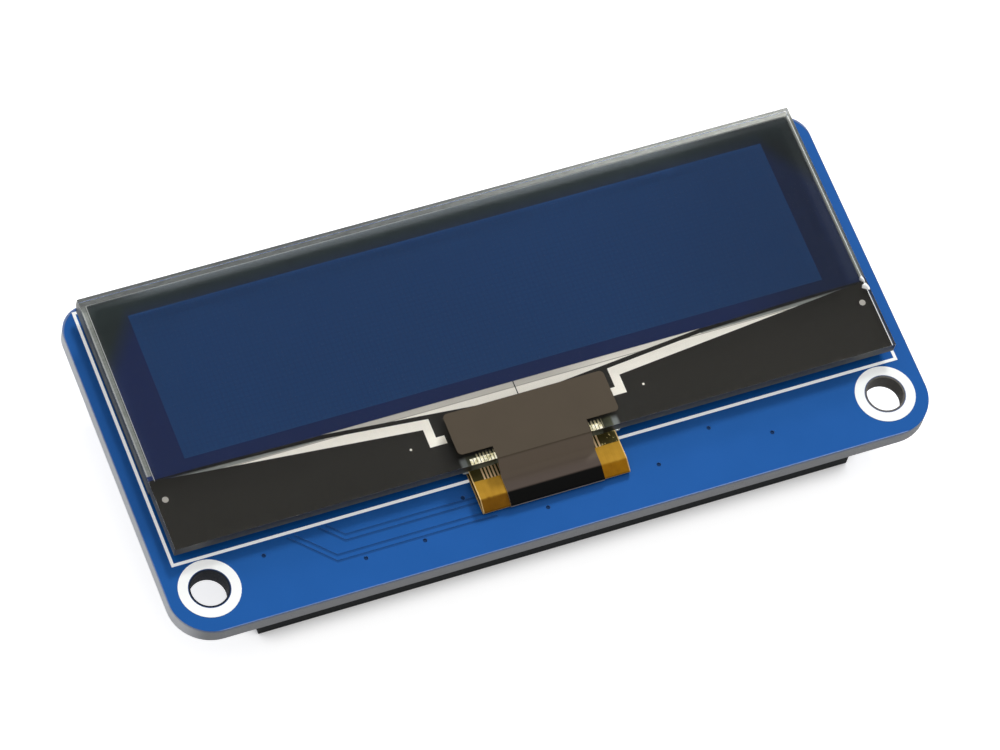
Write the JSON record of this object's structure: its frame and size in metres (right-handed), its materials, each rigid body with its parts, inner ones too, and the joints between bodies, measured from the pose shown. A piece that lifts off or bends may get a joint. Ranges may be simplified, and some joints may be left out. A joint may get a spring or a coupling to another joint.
{
  "type": "small oled module",
  "caption": "Small oled display on a blue circuit board with two mounting holes, a folded flexible circuit and a low socket header underneath.",
  "frame": {"origin": "midway between the two mounting holes, on the underside of the board", "axes": "+X along the board's long edge, +Y from the header side to the back, +Z out of the screen"},
  "size_m": [0.065, 0.0302, 0.0076],
  "materials": {
    "board": "blue solder mask over glass-fibre laminate",
    "white_print": "matte screen print",
    "clear_glass": "clear, cut edges",
    "polarizer": "smooth grey film",
    "pixels": "dark blue, unlit",
    "electrodes": "dark navy thin film",
    "fanout": "dark grey-green, fine lines",
    "thin_metal": "pale satin metal film",
    "seal_resin": "cured resin",
    "adhesive": "foam-free double-sided film",
    "drying_sheet": "matte",
    "silicon": "polished",
    "bond": "cured film",
    "polyimide": "amber film",
    "copper": "bare copper",
    "tape": "brown shielding tape",
    "clear_resin": "translucent resin",
    "pad_finish": "gold-plated copper",
    "black_moulding": "black moulded plastic",
    "gold_contact": "gold-plated spring metal",
    "solder": "reflowed solder",
    "chip_moulding": "fine matte black moulding",
    "tin_plate": "matte tin plating",
    "ferrite": "dark grey ferrite",
    "capacitor_ceramic": "tan ceramic",
    "resistor_ceramic": "black glaze over ceramic"
  },
  "bodies": {
    "root": {"circuit_board": "board", "screen_print": "white_print", "panel_adhesive": "adhesive", "cap_glass": "clear_glass", "desiccant_sheet": "drying_sheet", "edge_seal": "seal_resin", "substrate_glass": "clear_glass", "polarizer": "polarizer", "pixel_matrix": "pixels", "electrode_film": "electrodes", "fanout_film": "fanout", "bus_tracks": "thin_metal", "driver_chip": "silicon", "bond_film": "bond", "display_flex": "polyimide", "flex_traces": "copper", "shield_tape": "tape", "bond_resin": "clear_resin", "tail_pads": "pad_finish", "header_body": "black_moulding", "header_contacts": "gold_contact", "header_pads": "pad_finish", "header_solder": "solder", "component_pads": "pad_finish", "regulator_body": "chip_moulding", "regulator_leads": "tin_plate", "boost_body": "chip_moulding", "boost_leads": "tin_plate", "inductor_body": "ferrite", "inductor_ends": "tin_plate", "diode_body": "chip_moulding", "diode_ends": "tin_plate", "capacitor_bodies": "capacitor_ceramic", "capacitor_ends": "tin_plate", "resistor_bodies": "resistor_ceramic", "resistor_ends": "tin_plate"}
  },
  "joints": []
}
